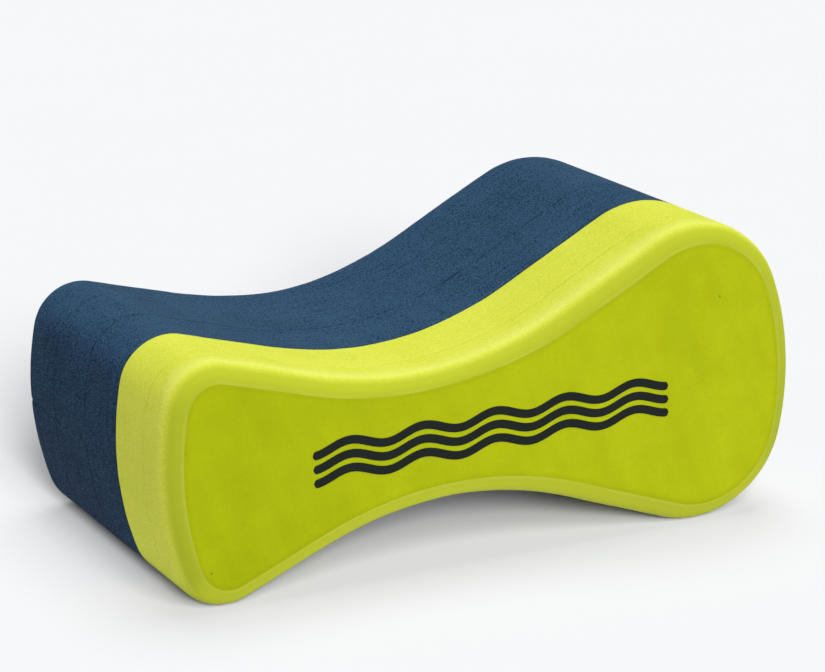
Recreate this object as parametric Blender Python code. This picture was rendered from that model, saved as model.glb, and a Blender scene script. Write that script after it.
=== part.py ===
"""Pull buoy: an hourglass block of laminated EVA foam sheets.

Run with: blender --background --python part.py
Metres, +Z up.  The buoy lies on its two lobes on the plane Z = 0, the small lobe
towards -X and the large lobe towards +X.  The moulded lime face looks along -Y.
"""

import math

import bmesh
import bpy
from mathutils import Matrix, Vector

# Outline of every sheet, from the middle of the small end round to the middle of the
# large end.  The lower half mirrors the upper half.
LENGTH = 0.230
END_RADIUS = 0.104
END_TURN = 15.6
CORNER_RADIUS = 0.0166
CORNER_TURN = 93.5
WAIST_RADIUS = 0.1235
WAIST_TURN = 43.1
CROWN_RADIUS = 0.0344
CROWN_TURN = 98.4
FAR_END_RADIUS = 0.098
DEGREES_PER_STEP = 6.0

# Foam sheets in order from the front face: name, thickness, colour.
LIME = (0.50, 0.58, 0.02)
NAVY = (0.030, 0.075, 0.135)
SHEETS = (
    ("lime_front_sheet", 0.0168, LIME),
    ("lime_inner_sheet", 0.0229, LIME),
    ("navy_front_sheet", 0.0266, NAVY),
    ("navy_middle_sheet", 0.0281, NAVY),
    ("navy_rear_sheet", 0.0290, NAVY),
)
RIM_RADIUS = 0.0069
RIM_SEGMENTS = 5
FLATNESS = 1e-6

# Glue film between neighbouring sheets, held back from the cut edge.
FILM_NAMES = ("glue_film_lime", "glue_film_lime_to_navy", "glue_film_navy_front", "glue_film_navy_rear")
FILM_THICKNESS = 0.0002
FILM_GAP = 0.0001
FILM_INSET = 0.002

# Printed mark: three stripes of ink in the form of waves.
STRIPE_NAMES = ("print_wave_upper", "print_wave_middle", "print_wave_lower")
STRIPE_LENGTH = 0.130
STRIPE_WIDTH = 0.0028
STRIPE_PITCH = 0.0046
STRIPE_SWING = 0.0016
STRIPE_PERIODS = 5
STRIPE_STEPS = 60
STRIPE_TILT = -1.9
STRIPE_CENTRE = (0.0, -0.0015)
INK_THICKNESS = 0.00015
INK_GAP = 0.0001

DEPTH = sum(thickness for _, thickness, _ in SHEETS)


def clear_scene():
    for obj in list(bpy.data.objects):
        bpy.data.objects.remove(obj, do_unlink=True)


def make_material(name, colour, roughness):
    material = bpy.data.materials.new(name)
    material.use_nodes = True
    shader = material.node_tree.nodes["Principled BSDF"]
    shader.inputs["Base Color"].default_value = (*colour, 1.0)
    shader.inputs["Roughness"].default_value = roughness
    shader.inputs["Metallic"].default_value = 0.0
    return material


def outline_path():
    """Signed arcs and straights of the upper half.

    Each step is (radius, turn in radians, length).  A negative radius turns clockwise,
    so it bulges outwards; None is a straight, whose length closes the outline.
    """
    far_turn = 180.0 - END_TURN - CORNER_TURN + WAIST_TURN - CROWN_TURN
    steps = [
        (-END_RADIUS, END_TURN),
        (-CORNER_RADIUS, CORNER_TURN),
        None,
        (WAIST_RADIUS, WAIST_TURN),
        None,
        (-CROWN_RADIUS, CROWN_TURN),
        (-FAR_END_RADIUS, far_turn),
    ]
    heading = math.pi / 2
    reached = Vector((0.0, 0.0))
    straights = []
    for step in steps:
        if step is None:
            straights.append(Vector((math.cos(heading), math.sin(heading))))
            continue
        radius, degrees = step
        turn = math.copysign(math.radians(degrees), radius)
        reached += arc_chord(radius, heading, turn)
        heading += turn
    missing = Vector((LENGTH, 0.0)) - reached
    first, second = straights
    area = first.cross(second)
    lengths = [missing.cross(second) / area, first.cross(missing) / area]
    path = []
    for step in steps:
        if step is None:
            path.append((None, 0.0, lengths.pop(0)))
        else:
            radius, degrees = step
            path.append((radius, math.copysign(math.radians(degrees), radius), 0.0))
    return path


def arc_chord(radius, heading, turn):
    """Step from the start to the end of an arc that starts along heading."""
    return radius * Vector((
        math.sin(heading + turn) - math.sin(heading),
        math.cos(heading) - math.cos(heading + turn),
    ))


def half_outline(inset):
    """Points of the upper half at a distance inside the outline, and the lobes' arc centres."""
    point = Vector((-LENGTH / 2 + inset, 0.0))
    heading = math.pi / 2
    points = [point.copy()]
    centres = []
    for radius, turn, length in outline_path():
        if radius is None:
            point = point + length * Vector((math.cos(heading), math.sin(heading)))
            points.append(point.copy())
            continue
        radius += inset
        centre = point + radius * Vector((-math.sin(heading), math.cos(heading)))
        centres.append(centre)
        count = max(2, round(abs(math.degrees(turn)) / DEGREES_PER_STEP))
        for step in range(1, count + 1):
            points.append(point + arc_chord(radius, heading, turn * step / count))
        point = points[-1]
        heading += turn
    return points, centres


def outline(inset=0.0):
    """Closed ring of points of one sheet, in the buoy's own axis frame."""
    upper, _ = half_outline(inset)
    lower = [Vector((point.x, -point.y)) for point in reversed(upper[1:-1])]
    return upper + lower


def resting_tilt():
    """Angle of the line that touches both lobes from below."""
    _, centres = half_outline(0.0)
    small = Vector((centres[1].x, -centres[1].y))
    large = Vector((centres[3].x, -centres[3].y))
    apart = large - small
    return math.atan2(apart.y, apart.x) + math.asin((CORNER_RADIUS - CROWN_RADIUS) / apart.length)


def resting_matrix():
    """Places the axis frame so that the buoy stands on both lobes, centred on the origin."""
    turned = Matrix.Rotation(-resting_tilt(), 2)
    ring = [turned @ point for point in outline()]
    lowest = min(point.y for point in ring)
    middle = (min(point.x for point in ring) + max(point.x for point in ring)) / 2
    return Matrix.Translation((-middle, 0.0, -lowest)) @ Matrix.Rotation(resting_tilt(), 4, "Y")


def extruded(name, ring, front, back, material):
    """Closed block with the ring as its outline, between two depths measured from the front face."""
    mesh = bpy.data.meshes.new(name)
    block = bmesh.new()
    corners = [block.verts.new((point.x, front - DEPTH / 2, point.y)) for point in ring]
    face = block.faces.new(corners)
    pushed = bmesh.ops.extrude_face_region(block, geom=[face])
    moved = [item for item in pushed["geom"] if isinstance(item, bmesh.types.BMVert)]
    bmesh.ops.translate(block, verts=moved, vec=(0.0, back - front, 0.0))
    bmesh.ops.recalc_face_normals(block, faces=block.faces)
    block.to_mesh(mesh)
    block.free()
    mesh.materials.append(material)
    obj = bpy.data.objects.new(name, mesh)
    bpy.context.scene.collection.objects.link(obj)
    return obj


def round_rim(obj, depth):
    """Rounds the edge loop that lies at one depth, and keeps the face inside it flat."""
    block = bmesh.new()
    block.from_mesh(obj.data)
    level = depth - DEPTH / 2
    edges = [
        edge for edge in block.edges
        if all(abs(vert.co.y - level) < FLATNESS for vert in edge.verts)
    ]
    bmesh.ops.bevel(
        block,
        geom=edges,
        offset=RIM_RADIUS,
        offset_type="OFFSET",
        segments=RIM_SEGMENTS,
        profile=0.5,
        affect="EDGES",
        clamp_overlap=False,
    )
    for vert in block.verts:
        if abs(vert.co.y - level) < FLATNESS:
            vert.co.y = level
    block.to_mesh(obj.data)
    block.free()


def shade_round(obj):
    obj.data.shade_smooth()
    obj.data.set_sharp_from_angle(angle=math.radians(30))


def add_sheets(placed):
    """The foam sheets, each short of its nominal faces by half the glue joint."""
    foams = {
        LIME: make_material("lime_foam", LIME, 0.75),
        NAVY: make_material("navy_foam", NAVY, 0.85),
    }
    half_joint = FILM_THICKNESS / 2 + FILM_GAP
    front = 0.0
    joints = []
    for name, thickness, colour in SHEETS:
        back = front + thickness
        near = front if front == 0.0 else front + half_joint
        far = back if name == SHEETS[-1][0] else back - half_joint
        sheet = extruded(name, outline(), near, far, foams[colour])
        if front == 0.0:
            round_rim(sheet, near)
        if name == SHEETS[-1][0]:
            round_rim(sheet, far)
        shade_round(sheet)
        sheet.parent = placed
        joints.append(back)
        front = back
    return joints[:-1]


def add_glue_films(placed, joints):
    glue = make_material("clear_contact_glue", (0.55, 0.50, 0.35), 0.4)
    for name, joint in zip(FILM_NAMES, joints):
        film = extruded(
            name, outline(FILM_INSET), joint - FILM_THICKNESS / 2, joint + FILM_THICKNESS / 2, glue
        )
        film.parent = placed


def wave_ring(height):
    """Ribbon that follows a sine wave, square at its ends, in the axis frame."""
    along = [index / STRIPE_STEPS - 0.5 for index in range(STRIPE_STEPS + 1)]
    upper = []
    lower = []
    for share in along:
        phase = 2 * math.pi * STRIPE_PERIODS * share
        middle = height + STRIPE_SWING * math.cos(phase)
        upper.append(Vector((share * STRIPE_LENGTH, middle + STRIPE_WIDTH / 2)))
        lower.append(Vector((share * STRIPE_LENGTH, middle - STRIPE_WIDTH / 2)))
    turned = Matrix.Rotation(math.radians(STRIPE_TILT), 2)
    centre = Vector(STRIPE_CENTRE)
    return [turned @ point + centre for point in upper + lower[::-1]]


def add_printed_mark(placed):
    ink = make_material("dark_ink", (0.012, 0.022, 0.018), 0.6)
    for index, name in enumerate(STRIPE_NAMES):
        height = (1 - index) * STRIPE_PITCH
        stripe = extruded(name, wave_ring(height), -INK_GAP - INK_THICKNESS, -INK_GAP, ink)
        stripe.parent = placed


def main():
    clear_scene()
    placed = bpy.data.objects.new("pull_buoy", None)
    bpy.context.scene.collection.objects.link(placed)
    placed.matrix_world = resting_matrix()
    joints = add_sheets(placed)
    add_glue_films(placed, joints)
    add_printed_mark(placed)


main()
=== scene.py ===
import math

import bpy
import numpy as np
from mathutils import Matrix, Vector, noise


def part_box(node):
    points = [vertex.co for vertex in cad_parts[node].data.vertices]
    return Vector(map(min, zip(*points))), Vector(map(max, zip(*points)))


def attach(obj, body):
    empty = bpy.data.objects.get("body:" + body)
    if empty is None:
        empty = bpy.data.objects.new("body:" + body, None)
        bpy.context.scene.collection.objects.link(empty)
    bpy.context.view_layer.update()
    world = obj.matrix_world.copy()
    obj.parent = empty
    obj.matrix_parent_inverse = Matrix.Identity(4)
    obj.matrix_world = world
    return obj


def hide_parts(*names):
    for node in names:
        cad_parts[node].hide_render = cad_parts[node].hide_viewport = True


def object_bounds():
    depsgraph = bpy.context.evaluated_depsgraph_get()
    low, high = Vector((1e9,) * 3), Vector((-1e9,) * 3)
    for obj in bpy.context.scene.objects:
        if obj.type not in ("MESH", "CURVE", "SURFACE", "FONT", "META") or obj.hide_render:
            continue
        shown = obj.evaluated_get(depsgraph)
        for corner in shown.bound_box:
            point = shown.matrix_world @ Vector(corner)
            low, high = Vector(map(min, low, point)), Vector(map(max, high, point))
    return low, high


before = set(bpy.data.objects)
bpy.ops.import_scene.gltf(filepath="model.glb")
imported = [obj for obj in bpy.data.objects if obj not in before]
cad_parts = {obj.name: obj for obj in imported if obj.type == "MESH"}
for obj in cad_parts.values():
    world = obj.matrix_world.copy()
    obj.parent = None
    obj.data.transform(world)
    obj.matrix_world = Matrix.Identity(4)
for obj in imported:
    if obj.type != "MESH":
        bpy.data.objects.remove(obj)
cadLow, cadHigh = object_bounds()
print("frame loaded")


# Shader sums are written as Python expressions on these wires.
class Wire:
    def __init__(self, board, socket):
        self.board = board
        self.socket = socket

    def __add__(self, other):
        return self.board.sum("ADD", self, other)

    __radd__ = __add__

    def __sub__(self, other):
        return self.board.sum("SUBTRACT", self, other)

    def __rsub__(self, other):
        return self.board.sum("SUBTRACT", other, self)

    def __mul__(self, other):
        return self.board.sum("MULTIPLY", self, other)

    __rmul__ = __mul__


# One material's node board.
class Board:
    def __init__(self, name):
        self.material = bpy.data.materials.new(name)
        self.material.use_nodes = True
        self.tree = self.material.node_tree
        self.tree.nodes.clear()

    def node(self, kind, settings=None, sockets=None, output=0):
        made = self.tree.nodes.new(kind)
        for key, value in (settings or {}).items():
            setattr(made, key, value)
        for key, value in (sockets or {}).items():
            if isinstance(value, Wire):
                self.tree.links.new(value.socket, made.inputs[key])
            else:
                made.inputs[key].default_value = value
        return Wire(self, made.outputs[output]) if made.outputs else None

    def sum(self, operation, first, second):
        return self.node("ShaderNodeMath", {"operation": operation}, {0: first, 1: second})

    def place(self):
        return self.node("ShaderNodeTexCoord", output="Object")

    def attribute(self, name):
        return self.node("ShaderNodeAttribute", {"attribute_name": name}, output="Fac")

    def stretched(self, vector, scale):  # noise squeezed or drawn out along an axis
        return self.node("ShaderNodeVectorMath", {"operation": "MULTIPLY"}, {0: vector, 1: scale})

    def grain(self, vector, scale, detail=2.0, roughness=0.5):
        return self.node(
            "ShaderNodeTexNoise",
            {"noise_dimensions": "3D"},
            {"Vector": vector, "Scale": scale, "Detail": detail, "Roughness": roughness},
        )

    def fade(self, value, low, high):  # 0 at low to 1 at high, eased
        return self.node(
            "ShaderNodeMapRange",
            {"interpolation_type": "SMOOTHSTEP"},
            {"Value": value, "From Min": low, "From Max": high},
        )

    def blend(self, factor, first, second):
        return self.node(
            "ShaderNodeMix",
            {"data_type": "RGBA", "clamp_factor": True},
            {0: factor, 6: first, 7: second},
            2,
        )

    def finish(self, colour, roughness, height, depth, constants):
        bump = self.node(
            "ShaderNodeBump", {}, {"Height": height, "Distance": depth, "Strength": 1.0}
        )
        sockets = {"Base Color": colour, "Roughness": roughness, "Normal": bump}
        sockets.update(constants)
        shader = self.node("ShaderNodeBsdfPrincipled", {}, sockets)
        self.node("ShaderNodeOutputMaterial", {}, {"Surface": shader})
        return self.material


def paint(red, green, blue):  # display colour from 0 to 255, as the shader's linear colour
    channels = [value / 255 for value in (red, green, blue)]
    linear = [v / 12.92 if v <= 0.04045 else ((v + 0.055) / 1.055) ** 2.4 for v in channels]
    return (*linear, 1.0)


# Camera: a long lens, seen over the small lobe's front corner.
camera = {
    "azimuth": -26.96,
    "elevation": 15.98,
    "roll": 0.56,
    "distance": 1.0134,
    "lens": 130.9,
    "target": (0.0017, -0.0002, 0.0603),
}


def outFrom(azimuth, elevation):  # the way towards a camera or a lamp
    turn, tip = math.radians(azimuth), math.radians(elevation)
    return Vector((
        math.sin(turn) * math.cos(tip),
        -math.cos(turn) * math.cos(tip),
        math.sin(tip),
    ))


def makeCamera():
    back = outFrom(camera["azimuth"], camera["elevation"])
    data = bpy.data.cameras.new("camera")
    data.lens = camera["lens"]
    data.sensor_width = 36.0
    data.dof.use_dof = False
    seen = bpy.data.objects.new("camera", data)
    bpy.context.scene.collection.objects.link(seen)
    aim = back.to_track_quat("Z", "Y").to_matrix().to_4x4()
    rolled = Matrix.Rotation(-math.radians(camera["roll"]), 4, "Z")
    seen.matrix_world = (
        Matrix.Translation(Vector(camera["target"]) + back * camera["distance"]) @ aim @ rolled
    )
    bpy.context.scene.camera = seen


makeCamera()
print("camera placed")


# Outline shared by all the sheets: arcs and two straights from the middle of the small end
# round to the middle of the large end, mirrored below.
outline = {
    "length": 0.230,
    "endRadius": 0.104,
    "endTurn": 15.6,
    "cornerRadius": 0.0166,
    "cornerTurn": 93.5,
    "waistRadius": 0.1235,
    "waistTurn": 43.1,
    "crownRadius": 0.0344,
    "crownTurn": 98.4,
    "farEndRadius": 0.098,
    "spacing": 0.0008,
}


def arcChord(radius, heading, turn):
    return radius * np.array([
        math.sin(heading + turn) - math.sin(heading),
        math.cos(heading) - math.cos(heading + turn),
    ])


def outlineSteps():
    o = outline
    farTurn = 180.0 - o["endTurn"] - o["cornerTurn"] + o["waistTurn"] - o["crownTurn"]
    steps = [
        (-o["endRadius"], o["endTurn"]),
        (-o["cornerRadius"], o["cornerTurn"]),
        None,
        (o["waistRadius"], o["waistTurn"]),
        None,
        (-o["crownRadius"], o["crownTurn"]),
        (-o["farEndRadius"], farTurn),
    ]
    heading, reached, straights = math.pi / 2, np.zeros(2), []
    for step in steps:
        if step is None:
            straights.append([math.cos(heading), math.sin(heading)])
            continue
        turn = math.copysign(math.radians(step[1]), step[0])
        reached += arcChord(step[0], heading, turn)
        heading += turn
    lengths = list(np.linalg.solve(np.array(straights).T, np.array([o["length"], 0.0]) - reached))
    return [(None, lengths.pop(0)) if step is None else step for step in steps]


def upperHalf():
    point, heading = np.array([-outline["length"] / 2, 0.0]), math.pi / 2
    points, normals = [point], [np.array([-1.0, 0.0])]
    for radius, size in outlineSteps():
        turn = 0.0 if radius is None else math.copysign(math.radians(size), radius)
        span = size if radius is None else abs(radius * turn)
        count = max(2, round(span / outline["spacing"]))
        for step in range(1, count + 1):
            share = step / count
            if radius is None:
                move = span * share * np.array([math.cos(heading), math.sin(heading)])
            else:
                move = arcChord(radius, heading, turn * share)
            there = heading + turn * share
            points.append(point + move)
            normals.append(np.array([-math.sin(there), math.cos(there)]))
        point = points[-1]
        heading += turn
    return np.array(points), np.array(normals)


def fullRing():
    points, normals = upperHalf()
    mirror = np.array([1.0, -1.0])
    ring = np.vstack([points, (points[1:-1] * mirror)[::-1]])
    outward = np.vstack([normals, (normals[1:-1] * mirror)[::-1]])
    run = np.concatenate([[0.0], np.cumsum(np.linalg.norm(np.diff(ring, axis=0), axis=1))])
    return ring, outward, run


ring, outward, run = fullRing()
ringCount = len(ring)
perimeter = run[-1] + outline["spacing"]


# The buoy's own axis leans so that both lobes touch the floor.
levellingPasses = 40


def turnMatrix(angle):
    return np.array([[math.cos(angle), math.sin(angle)], [-math.sin(angle), math.cos(angle)]])


def restingTurn():
    lean = 0.0
    for _ in range(levellingPasses):  # level the two lowest points
        turned = ring @ turnMatrix(lean).T
        left = turned[turned[:, 0] < 0]
        right = turned[turned[:, 0] >= 0]
        a, b = left[left[:, 1].argmin()], right[right[:, 1].argmin()]
        lean += math.atan2(b[1] - a[1], b[0] - a[0])
    return lean


lean = restingTurn()
leanMatrix = turnMatrix(lean)
leaned = ring @ leanMatrix.T
restShift = np.array([
    (cadLow.x + cadHigh.x) / 2 - (leaned[:, 0].min() + leaned[:, 0].max()) / 2,
    cadLow.z - leaned[:, 1].min(),
])


def standing(points, depths):  # axis frame to the frame's own place
    flat = points @ leanMatrix.T + restShift
    height = np.maximum(flat[:, 1], cadLow.z)  # the feet are pressed flat on the floor
    return np.column_stack([flat[:, 0], depths, height])


# How the foam was cut, rounded and glued.
foam = {
    "rimWidth": 0.0066,
    "rimDepth": 0.0072,
    "rimStart": 10.0,  # degrees that the rim already turns away where it meets the face
    "rimRows": 16,
    "rowSpacing": 0.0010,
    "jointClearance": 0.00002,
    "pocketInset": 0.0019,
    "pocketStep": 0.0001,
    "pocketDepth": 0.00012,
    "grooveWidth": 0.00035,
    "grooveDepth": 0.00012,
    "faintBehind": 0.02,  # the rearmost joint closed up better than the others
    "faintJoint": 0.0003,
    "faceRows": 56,
    "faceSwell": 0.00022,
    "faceSwellSize": 0.045,
    "faceSwellSeed": 0.3,
    "faceSettle": 0.006,  # the face stays true this far in from its edge
    "cutDrift": 0.00016,
    "cutDriftSizes": (0.16, 0.045),
    "cutDriftDepths": (0.25, 0.9),
    "cutDriftSmall": 0.4,
    "archDrop": 0.0007,  # shifts from the drawn outline, set place by place
    "smallEndRise": 0.0004,
    "smallEndRearDrop": 0.0012,
    "waistDrop": 0.0004,
    "waistRearDrop": 0.0008,
    "slopeRearRise": 0.0006,
    "upperFrom": (-0.010, 0.015),
    "smallEndTo": (-0.085, -0.040),
    "waistPlace": (-0.018, 0.028),  # middle and reach along the length
    "slopePlace": (0.045, 0.030),
    "archPlace": (0.035, 0.036),
    "waistRimNarrower": 0.2,
    "waistRimPlace": (-0.015, 0.035),
    "cutMarkDepth": 0.00035,
    "cutMarkWidth": 0.0011,
    "cutMarkPlace": 0.0015,
}


def smoothNoise(x, y, z, size):
    return noise.noise(Vector((x / size, y / size, z / size)))


def rimProfile(width, depth):  # from the face's edge to the side: inset and depth
    start = math.radians(foam["rimStart"])
    angles = np.linspace(start, math.pi / 2, foam["rimRows"])
    insets = width * (1 - (np.sin(angles) - math.sin(start)) / (1 - math.sin(start)))
    depths = depth * (math.cos(start) - np.cos(angles)) / math.cos(start)
    return list(zip(insets, depths))


def jointProfile():  # from the pocket of the glue film out to the side
    f = foam
    return [
        (f["pocketInset"] + f["pocketStep"], f["pocketDepth"]),
        (f["pocketInset"], f["jointClearance"]),
        (f["grooveDepth"] * 3, f["jointClearance"]),
        (f["grooveDepth"], f["jointClearance"]),
        (0.0, f["grooveWidth"]),
    ]


def sheetRows(near, far, nearRim, farRim):  # rows of (inset, depth) from one cap to the other
    f = foam
    rim = rimProfile(f["rimWidth"], f["rimDepth"])
    start = rim if nearRim else jointProfile()
    end = rim if farRim else jointProfile()
    first = [(inset, near + depth) for inset, depth in start]
    last = [(inset, far - depth) for inset, depth in reversed(end)]
    gap = last[0][1] - first[-1][1]
    count = max(2, round(gap / f["rowSpacing"]))
    middle = [(0.0, first[-1][1] + gap * step / count) for step in range(1, count)]
    return first + middle + last


def cutSurface(depth):  # how far the cut strays from the outline, round one row
    strays = []
    for place in run:
        angle = 2 * math.pi * place / perimeter
        x, y = math.cos(angle), math.sin(angle)
        wide, small = [
            smoothNoise(x, y, depth / reach, size)
            for reach, size in zip(foam["cutDriftDepths"], foam["cutDriftSizes"])
        ]
        strays.append(foam["cutDrift"] * (wide + small * foam["cutDriftSmall"]))
    return np.array(strays)


def eased(value, low, high):
    share = np.clip((value - low) / (high - low), 0, 1)
    return share * share * (3 - 2 * share)


def hill(value, middle, width):
    return np.exp(-(((value - middle) / width) ** 2))


def handCut(points, share):  # small shifts of the outline, given one by one; share is 1 at the back
    f = foam
    x, z = points[:, 0], points[:, 1]
    upper = eased(z, *f["upperFrom"])
    smallEnd = 1 - eased(x, *f["smallEndTo"])
    rise = upper * (
        smallEnd * (f["smallEndRise"] - f["smallEndRearDrop"] * share)
        - hill(x, *f["waistPlace"]) * (f["waistDrop"] + f["waistRearDrop"] * share)
        + hill(x, *f["slopePlace"]) * f["slopeRearRise"] * share
    )
    rise -= (1 - upper) * hill(x, *f["archPlace"]) * f["archDrop"]
    return points + np.column_stack([np.zeros(len(x)), rise])


def cutMark(depth, near, far):  # the notch where the blade entered
    share = (depth - near) / (far - near)
    place = foam["cutMarkPlace"]
    away = np.minimum(np.abs(run - place), np.abs(perimeter - run + place))
    return foam["cutMarkDepth"] * share ** 2 * np.clip(1 - away / foam["cutMarkWidth"], 0, 1)


def addAttribute(mesh, name, values):
    made = mesh.attributes.new(name, "FLOAT", "POINT")
    made.data.foreach_set("value", np.asarray(values, np.float32))


def makeObject(name, points, faces, materials):
    mesh = bpy.data.meshes.new(name)
    mesh.from_pydata([tuple(p) for p in points], [], faces)
    for material in materials:
        mesh.materials.append(material)
    made = bpy.data.objects.new(name, mesh)
    bpy.context.scene.collection.objects.link(made)
    return made


# Grid that fills a ring: a row of points between each upper point and its mirror below.
class Cap:
    def __init__(self, first, ringFirst, rows):
        half = ringCount // 2
        self.columns = [[ringFirst]]
        for column in range(1, half):
            inner = [first + (column - 1) * (rows - 1) + row for row in range(rows - 1)]
            self.columns.append([ringFirst + column, *inner, ringFirst + ringCount - column])
        self.columns.append([ringFirst + half])

    def faces(self, flipped):
        found = []
        for left, right in zip(self.columns[:-1], self.columns[1:]):
            if len(left) == 1:
                strip = [(left[0], right[row], right[row + 1]) for row in range(len(right) - 1)]
            elif len(right) == 1:
                strip = [(left[row], right[0], left[row + 1]) for row in range(len(left) - 1)]
            else:
                strip = [
                    (left[row], right[row], right[row + 1], left[row + 1])
                    for row in range(len(left) - 1)
                ]
            found += strip
        return [face[::-1] for face in found] if flipped else found


def faceSwell(points):  # a moulded face is never quite flat
    size, seed = foam["faceSwellSize"], foam["faceSwellSeed"]
    return np.array([foam["faceSwell"] * smoothNoise(x, seed, z, size) for x, z in points])


def capPoints(edge, rows):  # inner points of a cap, column by column, in the axis frame
    half = ringCount // 2
    shares = np.arange(1, rows) / rows
    found = []
    for column in range(1, half):
        top, bottom = edge[column], edge[ringCount - column]
        found.append(top + (bottom - top) * shares[:, None])
    return np.vstack(found)


def distanceTo(points, edge):  # worked out a batch at a time, which keeps the tables small
    batch = 2000
    nearest = np.empty(len(points))
    for start in range(0, len(points), batch):
        part = points[start:start + batch]
        apart = np.linalg.norm(part[:, None, :] - edge[None, ::2, :], axis=2)
        nearest[start:start + batch] = apart.min(axis=1)
    return nearest


def settled(away):  # the swell dies out towards the edge
    return np.clip(away / foam["faceSettle"], 0, 1) ** 2


noneNear = 1.0  # stands for a place with no rim or joint near it
sharpAngle = math.radians(35)  # edges sharper than this stay crisp


def makeSheet(name, node, materials, whole):
    low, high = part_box(node)
    nearRim, farRim = low.y - whole[0] < jointHalf, whole[1] - high.y < jointHalf
    near = low.y if nearRim else low.y - jointHalf
    far = high.y if farRim else high.y + jointHalf
    rows = sheetRows(near, far, nearRim, farRim)
    rings, depths, insets = [], [], []
    for inset, depth in rows:
        stray = cutSurface(depth) - cutMark(depth, *whole)
        fade = max(0.0, 1 - inset / foam["rimWidth"])
        narrower = hill(ring[:, 0], *foam["waistRimPlace"]) * (ring[:, 1] > 0)
        narrower = foam["waistRimNarrower"] * narrower
        row = ring + outward * (stray * fade - inset * (1 - narrower))[:, None]
        rings.append(handCut(row, (depth - whole[0]) / (whole[1] - whole[0])))
        depths.append(np.full(ringCount, depth))
        insets.append(inset)
    flat = np.vstack(rings)
    depth = np.concatenate(depths)
    steps = np.hypot(np.diff(insets), np.diff([rowDepth for _, rowDepth in rows]))
    across = np.concatenate([[0.0], np.cumsum(steps)])

    nearEdge, farEdge = rings[0], rings[-1]
    capRows = foam["faceRows"]
    nearInner, farInner = capPoints(nearEdge, capRows), capPoints(farEdge, capRows)
    nearDepth = np.full(len(nearInner), rows[0][1])
    farDepth = np.full(len(farInner), rows[-1][1])
    nearAway, farAway = distanceTo(nearInner, nearEdge), distanceTo(farInner, farEdge)
    if nearRim:
        nearDepth = nearDepth + faceSwell(nearInner) * settled(nearAway)
    if farRim:
        farDepth = farDepth + faceSwell(farInner) * settled(farAway)

    points = np.vstack([flat, nearInner, farInner])
    allDepths = np.concatenate([depth, nearDepth, farDepth])
    placed = standing(points, allDepths)

    faces, finishes = [], []
    for row in range(len(rows) - 1):
        for column in range(ringCount):
            after = (column + 1) % ringCount
            a, b = row * ringCount + column, row * ringCount + after
            faces.append((a, b, b + ringCount, a + ringCount))
            finishes.append(0)
    sideCount = len(faces)
    nearCap = Cap(len(flat), 0, capRows).faces(True)
    farCap = Cap(len(flat) + len(nearInner), (len(rows) - 1) * ringCount, capRows).faces(False)
    faces += nearCap + farCap
    finishes += [1 if nearRim else 0] * len(nearCap) + [1 if farRim else 0] * len(farCap)

    made = makeObject(name, placed, faces, materials)
    mesh = made.data
    mesh.polygons.foreach_set("material_index", np.array(finishes, np.int32))

    # distances that the finishes read
    rowAcross = np.repeat(across, ringCount)
    total = across[-1]
    fromNear, fromFar = rowAcross, total - rowAcross
    fromFace = np.full(len(flat), noneNear)
    if nearRim:
        fromFace = fromNear
    if farRim:
        fromFace = fromFar
    addAttribute(mesh, "fromFace", np.concatenate([fromFace, nearAway, farAway]))
    toSeam = np.full(len(flat), noneNear)
    for joint, rounded in ((near, nearRim), (far, farRim)):
        if not rounded:
            faint = foam["faintJoint"] if joint > foam["faintBehind"] else 0.0
            toSeam = np.minimum(toSeam, np.abs(depth - joint) + faint)
    inner = len(nearInner) + len(farInner)
    addAttribute(mesh, "toSeam", np.concatenate([toSeam, np.full(inner, noneNear)]))

    facing = np.tile((outward @ leanMatrix.T)[:, 1], len(rows))
    addAttribute(mesh, "facing", np.concatenate([facing, np.zeros(inner)]))

    # run along the outline and depth, for the marks that the blade left
    layer = mesh.uv_layers.new(name="run")
    uv = np.zeros((len(mesh.loops), 2), np.float32)
    loopVertex = np.empty(len(mesh.loops), np.int32)
    mesh.loops.foreach_get("vertex_index", loopVertex)
    column = loopVertex % ringCount
    onSide = loopVertex < len(flat)
    uv[onSide, 0] = run[column[onSide]]
    uv[onSide, 1] = (rowAcross + near)[loopVertex[onSide]]
    sideLoops = sideCount * 4
    wrapped = (np.arange(sideLoops) // 4) % ringCount == ringCount - 1
    closing = np.where(wrapped & (column[:sideLoops] == 0))[0]
    uv[closing, 0] = perimeter
    layer.data.foreach_set("uv", uv.ravel())
    mesh.shade_smooth()
    mesh.set_sharp_from_angle(angle=sharpAngle)
    mesh.update()
    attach(made, "root")
    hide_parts(node)
    return made


cutGrain = {  # noise scales; three figures are along the outline, across it and unused
    "cells": 2.1,  # times the speckle's own scale
    "blotch": 46.0,
    "streak": (26.0, 900.0, 1.0),
    "fineStreak": (90.0, 2400.0, 1.0),
    "chatter": (150.0, 7.0, 1.0),
    "patches": (16.0, 26.0, 1.0),
    "brokenSeam": (110.0, 5.0, 1.0),
}
cutSpans = {  # where each mark fades in or out
    "patches": (0.42, 0.70),
    "upward": (-0.3, 1.0),
    "under": (-0.85, -0.25),
    "paintedBounceLight": (0.0030, 0.0075),
    "paintedUnderShade": (0.0050, 0.0078),
    "lipHighlight": (0.0005, 0.0014),
    "lipPatches": (0.30, 0.60),
    "brokenSeam": (0.40, 0.60),
    "seam": (0.00015, 0.00060),
}
cutMiddle = 0.65  # an upward share at which the painted top light and shade leave the colour as it is
cutShares = {
    "unpatched": 0.25,  # streaks left where there is no patch of them
    "fineStreak": 0.6,
    "roughSpeckle": 0.10,
    "roughRim": 0.06,
    "bumpSpeckle": 0.9,
    "bumpCells": 0.4,
    "bumpFineStreak": 0.5,
    "bumpChatter": 0.3,
    "rimSmoother": 0.7,
}


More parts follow.
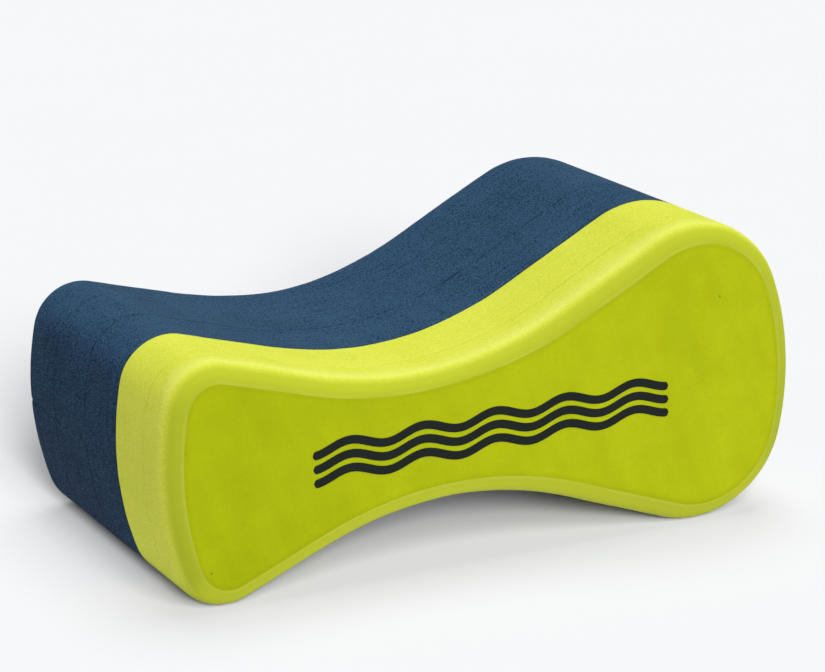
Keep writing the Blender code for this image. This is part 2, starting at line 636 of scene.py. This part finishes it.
def cutFoam(name, look):  # blade-cut foam of the sides and the rim
    sizes, spans, shares = cutGrain, cutSpans, cutShares
    board = Board(name)
    place = board.place()
    along = board.node("ShaderNodeUVMap", {"uv_map": "run"})
    fromFace, toSeam = board.attribute("fromFace"), board.attribute("toSeam")
    facing = board.attribute("facing")  # -1 where the outline faces down, 1 where it faces up
    upward = board.fade(facing, *spans["upward"])
    under = 1 - board.fade(facing, *spans["under"])
    speckle = board.grain(place, look["speckleScale"], 2.0, 0.6)
    cells = board.grain(place, look["speckleScale"] * sizes["cells"], 1.0)
    blotch = board.grain(place, sizes["blotch"], 3.0)
    streak = board.grain(board.stretched(along, sizes["streak"]), 1.0, 3.0, 0.6)
    fineStreak = board.grain(board.stretched(along, sizes["fineStreak"]), 1.0, 1.0)
    chatter = board.grain(board.stretched(along, sizes["chatter"]), 1.0, 2.0)
    patchNoise = board.grain(board.stretched(along, sizes["patches"]), 1.0, 1.0)
    patches = board.fade(patchNoise, *spans["patches"])
    tone = (
        0.5
        + look["speckle"] * (speckle - 0.5)
        + look["cells"] * (cells - 0.5)
        + look["blotch"] * (blotch - 0.5)
        # painted light and shade: the tone shifts with how far the outline faces up, so tops and
        # sides differ as falling light would make them
        + look["paintedTopLight"] * (upward - cutMiddle)
        + look["streak"] * (streak - 0.5) * (shares["unpatched"] + patches)
        + look["streak"] * shares["fineStreak"] * (fineStreak - 0.5)
        + look["chatter"] * (chatter - 0.5)
    )
    colour = board.blend(tone, look["dark"], look["light"])
    rimEnd = look["rimEnd"]
    onRim = 1 - board.fade(fromFace, rimEnd - look["rimFade"], rimEnd)
    colour = board.blend(onRim * look["rimShare"], colour, look["rim"])
    # painted bounce light: the rim is painted lighter where it faces down, close to the face
    paintedBounceLight = under * (1 - board.fade(fromFace, *spans["paintedBounceLight"]))
    colour = board.blend(paintedBounceLight * look["rimShare"], colour, look["rimBelowBounceLight"])
    # painted shade: the downward-facing rim is painted darker towards the side, in the seam's
    # dark colour
    paintedUnderShade = under * board.fade(fromFace, *spans["paintedUnderShade"])
    colour = board.blend(paintedUnderShade * look["paintedUnderShade"], colour, look["seamAndShadeColour"])
    # painted highlight: a pale band where the upward-facing side turns into the rim, and a pale
    # line in patches along the face's edge
    before, crest, after = [rimEnd + step for step in look["shoulderSteps"]]
    shoulderHighlight = upward * (
        board.fade(fromFace, before, crest) * (1 - board.fade(fromFace, crest, after))
    )
    lipHighlight = (1 - board.fade(fromFace, *spans["lipHighlight"])) * board.fade(blotch, *spans["lipPatches"])
    colour = board.blend(shoulderHighlight * look["shoulderHighlight"] + lipHighlight * look["lipHighlight"], colour, look["paintedHighlightColour"])
    seamNoise = board.grain(board.stretched(along, sizes["brokenSeam"]), 1.0, 3.0)
    broken = board.fade(seamNoise, *spans["brokenSeam"])
    seam = (1 - board.fade(toSeam, *spans["seam"])) * broken
    colour = board.blend(seam * look["seam"], colour, look["seamAndShadeColour"])
    roughness = (
        look["roughness"] + shares["roughSpeckle"] * (speckle - 0.5) - shares["roughRim"] * onRim
    )
    height = (
        speckle * shares["bumpSpeckle"]
        + cells * shares["bumpCells"]
        + streak * look["streakHeight"] * (shares["unpatched"] + patches)
        + fineStreak * look["streakHeight"] * shares["bumpFineStreak"]
        + chatter * shares["bumpChatter"]
    ) * (1 - onRim * shares["rimSmoother"])
    return board.finish(colour, roughness, height, look["bump"], look["constants"])


skinGrain = {  # noise scales; three figures are across, through and along the slant
    "cloud": 16.0,
    "mottle": 85.0,
    "peel": 1500.0,
    "smear": (150.0, 150.0, 18.0),
    "scored": (210.0, 210.0, 9.0),
    "scratched": 42.0,
    "rub": 120.0,
    "specks": 130.0,
}
skinSpans = {  # where each mark fades in or out
    "hair": (0.002, 0.010),
    "scratched": (0.60, 0.70),
    "rub": (0.66, 0.78),
    "chosen": (0.93, 0.95),
    "speck": (0.03, 0.075),
    "edge": (0.0, 0.0022),
}
skinShares = {
    "roughMottle": 0.12,
    "roughScratch": 0.10,
    "roughRub": 0.08,
    "bumpPeel": 0.25,
    "bumpMottle": 0.5,
    "bumpScratch": 0.9,
    "bumpRub": 0.2,
}
skinSlant = math.radians(24.0)


def mouldedSkin(name, look):  # the smooth skin that the mould left on the outer faces
    sizes, spans, shares = skinGrain, skinSpans, skinShares
    board = Board(name)
    place = board.place()
    fromFace = board.attribute("fromFace")
    cloud = board.grain(place, sizes["cloud"], 3.0, 0.55)
    mottle = board.grain(place, sizes["mottle"], 3.0, 0.6)
    peel = board.grain(place, sizes["peel"], 2.0)
    slanted = board.node(
        "ShaderNodeMapping", {}, {"Vector": place, "Rotation": (0.0, skinSlant, 0.0)}
    )
    smear = board.grain(board.stretched(slanted, sizes["smear"]), 1.0, 2.0)
    sideways = board.node("ShaderNodeSeparateXYZ", {}, {0: place}, 0)
    tone = (
        0.5 + look["cloud"] * (cloud - 0.5) + look["mottle"] * (mottle - 0.5)
        + look["smear"] * (smear - 0.5) + look["peel"] * (peel - 0.5)
        # painted light: the face grows paler towards the large lobe
        + look["paintedSideLight"] * (board.fade(sideways, *look["paintedSideLightSpan"]) - 0.5)
    )
    colour = board.blend(tone, look["dark"], look["light"])
    # hair-fine scratches: where a drawn-out noise crosses its middle value
    scored = board.grain(board.stretched(slanted, sizes["scored"]), 1.0, 0.0)
    across = board.node("ShaderNodeMath", {"operation": "ABSOLUTE"}, {0: scored - 0.5})
    where = board.fade(board.grain(place, sizes["scratched"], 1.0), *spans["scratched"])
    scratch = (1 - board.fade(across, *spans["hair"])) * where
    colour = board.blend(scratch * look["scratch"], colour, look["scuff"])
    rub = board.fade(board.grain(place, sizes["rub"], 4.0, 0.7), *spans["rub"])
    colour = board.blend(rub * look["rub"], colour, look["scuff"])
    # a few dark specks
    away, pick = [
        board.node("ShaderNodeTexVoronoi", {}, {"Vector": place, "Scale": sizes["specks"]}, found)
        for found in ("Distance", "Color")
    ]
    chosen = board.fade(board.node("ShaderNodeSeparateColor", {}, {0: pick}, 0), *spans["chosen"])
    speck = (1 - board.fade(away, *spans["speck"])) * chosen
    colour = board.blend(speck * look["speck"], colour, look["dirt"])
    edge = 1 - board.fade(fromFace, *spans["edge"])
    colour = board.blend(edge * look["edge"], colour, look["edgeColour"])
    roughness = (
        look["roughness"]
        + shares["roughMottle"] * (mottle - 0.5)
        + shares["roughScratch"] * scratch
        + shares["roughRub"] * rub
    )
    height = (
        peel * shares["bumpPeel"]
        + mottle * shares["bumpMottle"]
        - scratch * shares["bumpScratch"]
        + rub * shares["bumpRub"]
    )
    return board.finish(colour, roughness, height, look["bump"], look["constants"])


limeCut = {
    "dark": paint(198, 206, 44),
    "light": paint(227, 232, 90),
    "rim": paint(180, 191, 36),
    "rimBelowBounceLight": paint(203, 212, 48),
    "paintedUnderShade": 0.45,
    "paintedHighlightColour": paint(230, 234, 124),
    "seamAndShadeColour": paint(120, 128, 26),
    "rimEnd": 0.0078,
    "rimFade": 0.0034,
    "shoulderSteps": (-0.0012, 0.0008, 0.0085),
    "rimShare": 0.92,
    "shoulderHighlight": 0.4,
    "lipHighlight": 0.12,
    "seam": 0.13,
    "speckle": 1.3,
    "cells": 0.9,
    "blotch": 0.5,
    "paintedTopLight": -0.1,
    "streak": 0.45,
    "chatter": 0.10,
    "streakHeight": 0.4,
    "speckleScale": 1350.0,
    "roughness": 0.85,
    "bump": 0.00016,
    "constants": {"Specular IOR Level": 0.16},
}
navyCut = {
    "dark": paint(0, 27, 55),
    "light": paint(55, 88, 116),
    "rim": paint(14, 46, 72),
    "rimBelowBounceLight": paint(18, 52, 80),
    "paintedUnderShade": 0.3,
    "paintedHighlightColour": paint(56, 88, 118),
    "seamAndShadeColour": paint(2, 10, 22),
    "rimEnd": 0.0078,
    "rimFade": 0.0034,
    "shoulderSteps": (-0.0012, 0.0008, 0.0085),
    "rimShare": 0.5,
    "shoulderHighlight": 0.2,
    "lipHighlight": 0.25,
    "seam": 0.6,
    "speckle": 3.8,
    "cells": 3.2,
    "blotch": 0.5,
    "paintedTopLight": 0.55,
    "streak": 1.1,
    "chatter": 0.2,
    "streakHeight": 0.8,
    "speckleScale": 1800.0,
    "roughness": 0.8,
    "bump": 0.00020,
    "constants": {"Specular IOR Level": 0.07},
}
limeSkin = {
    "dark": paint(170, 183, 4),
    "light": paint(198, 209, 16),
    "scuff": paint(196, 205, 70),
    "dirt": paint(96, 104, 30),
    "edgeColour": paint(160, 172, 6),
    "cloud": 0.5,
    "mottle": 0.75,
    "smear": 0.45,
    "paintedSideLight": 0.36,  # painted light: the skin is painted paler from the waist to the large lobe, as if lit more from that side
    "paintedSideLightSpan": (-0.11, 0.02),
    "peel": 0.5,
    "scratch": 0.30,
    "rub": 0.22,
    "speck": 0.6,
    "edge": 0.35,
    "roughness": 0.55,
    "bump": 0.00006,
    "constants": {"Specular IOR Level": 0.06},
}
navySkin = {
    **limeSkin,
    "dark": paint(12, 42, 70),
    "light": paint(32, 66, 98),
    "scuff": paint(70, 96, 122),
    "dirt": paint(4, 10, 18),
    "edgeColour": paint(2, 22, 44),
}

sheets = {
    "limeFront": ("lime_front_sheet", "lime"),
    "limeInner": ("lime_inner_sheet", "lime"),
    "navyFront": ("navy_front_sheet", "navy"),
    "navyMiddle": ("navy_middle_sheet", "navy"),
    "navyRear": ("navy_rear_sheet", "navy"),
}

depthLow = min(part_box(node)[0].y for node, _ in sheets.values())
depthHigh = max(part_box(node)[1].y for node, _ in sheets.values())
jointHalf = (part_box("lime_inner_sheet")[0].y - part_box("lime_front_sheet")[1].y) / 2

foams = {
    "lime": (cutFoam("limeCutFoam", limeCut), mouldedSkin("limeMouldedSkin", limeSkin)),
    "navy": (cutFoam("navyCutFoam", navyCut), mouldedSkin("navyMouldedSkin", navySkin)),
}
for name, (node, colour) in sheets.items():
    sheet = makeSheet(name, node, foams[colour], (depthLow, depthHigh))
    print(name, "made,", len(sheet.data.polygons), "faces")


# Printed mark: three waves of ink that follow the face.
waves = {
    "pieces": {
        "waveUpper": "print_wave_upper",
        "waveMiddle": "print_wave_middle",
        "waveLower": "print_wave_lower",
    },
    "length": 0.130,
    "width": 0.0028,
    "pitch": 0.0046,
    "swing": 0.0016,
    "periods": 5,
    "tilt": -1.9,
    "centre": (0.0, -0.0015),
    "tipWidth": 0.00003,
    "thickness": 0.00004,
    "lift": 0.00003,
    "steps": 260,
    "across": 6,
}


inkLook = {
    "dark": paint(18, 25, 22),
    "light": paint(32, 40, 36),
    "pores": 1500.0,
    "cloud": 60.0,
    "roughness": 0.55,
    "bump": 0.00003,
    "constants": {"Specular IOR Level": 0.12},
}


def inkFinish():
    board = Board("darkInk")
    place = board.place()
    pores = board.grain(place, inkLook["pores"], 2.0)
    cloud = board.grain(place, inkLook["cloud"], 3.0)
    tone = 0.5 + 0.5 * (cloud - 0.5) + 0.5 * (pores - 0.5)
    colour = board.blend(tone, inkLook["dark"], inkLook["light"])
    roughness = inkLook["roughness"] + 0.1 * (cloud - 0.5)
    return board.finish(colour, roughness, pores, inkLook["bump"], inkLook["constants"])


def makeWave(name, node, height, material):
    w = waves
    tilt = math.radians(w["tilt"])
    turn = np.array([[math.cos(tilt), -math.sin(tilt)], [math.sin(tilt), math.cos(tilt)]])
    columns = []
    for step in range(w["steps"] + 1):
        share = step / w["steps"] - 0.5
        phase = 2 * math.pi * w["periods"] * share
        end = min(1.0, (0.5 - abs(share)) * w["length"] / (w["width"] / 2))
        half = w["width"] / 2 * math.sqrt(max(0.0, 1 - (1 - end) ** 2)) + w["tipWidth"]
        slope = -w["swing"] * 2 * math.pi * w["periods"] / w["length"] * math.sin(phase)
        normal = np.array([-slope, 1.0]) / math.hypot(slope, 1.0)
        middle = np.array([share * w["length"], height + w["swing"] * math.cos(phase)])
        columns.append([
            middle + normal * half * (2 * k / w["across"] - 1) for k in range(w["across"] + 1)
        ])
    flat = np.array(columns).reshape(-1, 2) @ turn.T + np.array(w["centre"])
    base = depthLow + faceSwell(flat)
    outer = standing(flat, base - w["lift"] - w["thickness"])
    inner = standing(flat, base - w["lift"])
    rows, count = w["across"] + 1, len(flat)
    faces = []
    for step in range(w["steps"]):
        for k in range(w["across"]):
            a, b = step * rows + k, (step + 1) * rows + k
            faces.append((a, b, b + 1, a + 1))
            faces.append((count + a, count + a + 1, count + b + 1, count + b))
    for step in range(w["steps"]):
        a, b = step * rows, (step + 1) * rows
        faces.append((a, count + a, count + b, b))
        a, b = a + rows - 1, b + rows - 1
        faces.append((a, b, count + b, count + a))
    for k in range(w["across"]):
        faces.append((k, k + 1, count + k + 1, count + k))
        a = w["steps"] * rows + k
        faces.append((a, count + a, count + a + 1, a + 1))
    made = makeObject(name, np.vstack([outer, inner]), faces, [material])
    made.data.shade_smooth()
    made.data.set_sharp_from_angle(angle=sharpAngle)
    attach(made, "root")
    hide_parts(node)
    return made


ink = inkFinish()
for place, (name, node) in zip((1, 0, -1), waves["pieces"].items()):
    makeWave(name, node, place * waves["pitch"], ink)
print("ink waves made")


# The glue films stay as the frame has them, hidden between the sheets.
glueLook = {
    "dark": paint(196, 188, 158),
    "light": paint(222, 214, 186),
    "ripple": 260.0,
    "bump": 0.00004,
    "constants": {"Specular IOR Level": 0.5},
}


def glueFinish():
    board = Board("contactGlue")
    ripple = board.grain(board.place(), glueLook["ripple"], 3.0)
    colour = board.blend(ripple, glueLook["dark"], glueLook["light"])
    roughness = 0.3 + 0.2 * ripple
    return board.finish(colour, roughness, ripple, glueLook["bump"], glueLook["constants"])


glue = glueFinish()
for name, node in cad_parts.items():
    if name.startswith("glue_film"):
        node.data.materials.clear()
        node.data.materials.append(glue)
print("glue films finished")


# Pale floor and soft light. The floor and the buoy each have their own lamps.
studio = {
    "floorSize": 40.0,
    "floorColour": (0.219, 0.2205, 0.225, 1.0),
    "floorGlow": 0.01,
    "floorDrop": 0.0001,  # keeps the floor just under the feet
    "floorDust": 9.0,
    "floorDustShade": 0.995,
    "world": (0.94, 0.95, 0.97, 1.0),
    "worldStrength": 0.15,
    "buoyLights": {  # name: (azimuth, elevation, strength, softness in degrees)
        "overhead": (15.0, 80.0, 2.68, 30.0),
        "frontKey": (20.0, 12.0, 0.70, 50.0),
        "leftFill": (-75.0, 35.0, 0.37, 60.0),
        "rightFill": (75.0, 35.0, 0.30, 60.0),
        "backFill": (170.0, 12.0, 0.40, 50.0),
    },
    "floorLights": {  # a second set keeps the shadow on the floor short and pale
        "floorAbove": (140.0, 76.0, 3.5, 40.0),
        "floorFront": (-16.0, 22.0, 15.2, 16.0),
        "floorFrontHigh": (-7.0, 40.0, 5.7, 26.0),
    },
}


def addLamp(name, azimuth, elevation, strength, softness):
    data = bpy.data.lights.new(name, "SUN")
    data.energy = strength
    data.angle = math.radians(softness)
    lamp = bpy.data.objects.new(name, data)
    bpy.context.scene.collection.objects.link(lamp)
    lamp.rotation_mode = "QUATERNION"
    lamp.rotation_quaternion = outFrom(azimuth, elevation).to_track_quat("Z", "Y")
    return lamp


def makeStudio():
    buoy = [piece for piece in bpy.context.scene.objects if piece.type == "MESH"]
    half = studio["floorSize"] / 2
    corners = [(-half, -half, 0.0), (half, -half, 0.0), (half, half, 0.0), (-half, half, 0.0)]
    board = Board("paleFloor")
    dust = board.grain(board.place(), studio["floorDust"], 2.0)
    dusty = tuple(value * studio["floorDustShade"] for value in studio["floorColour"])
    colour = board.blend(dust, studio["floorColour"], dusty)
    glow = {
        "Specular IOR Level": 0.0,
        "Emission Color": studio["world"],
        "Emission Strength": studio["floorGlow"],
    }
    material = board.finish(colour, 0.85, dust, 0.0001, glow)
    floor = makeObject("floor", corners, [(0, 1, 2, 3)], [material])
    floor.location.z = cadLow.z - studio["floorDrop"]
    world = bpy.data.worlds.new("studio")
    world.use_nodes = True
    background = world.node_tree.nodes["Background"]
    background.inputs["Color"].default_value = studio["world"]
    background.inputs["Strength"].default_value = studio["worldStrength"]
    bpy.context.scene.world = world
    for group, members in (("floorLights", [floor]), ("buoyLights", buoy)):
        lit = bpy.data.collections.new(group)
        for member in members:
            lit.objects.link(member)
        for name, values in studio[group].items():
            addLamp(name, *values).light_linking.receiver_collection = lit
    bpy.context.scene.view_settings.view_transform = "Standard"


makeStudio()
print("studio lit")
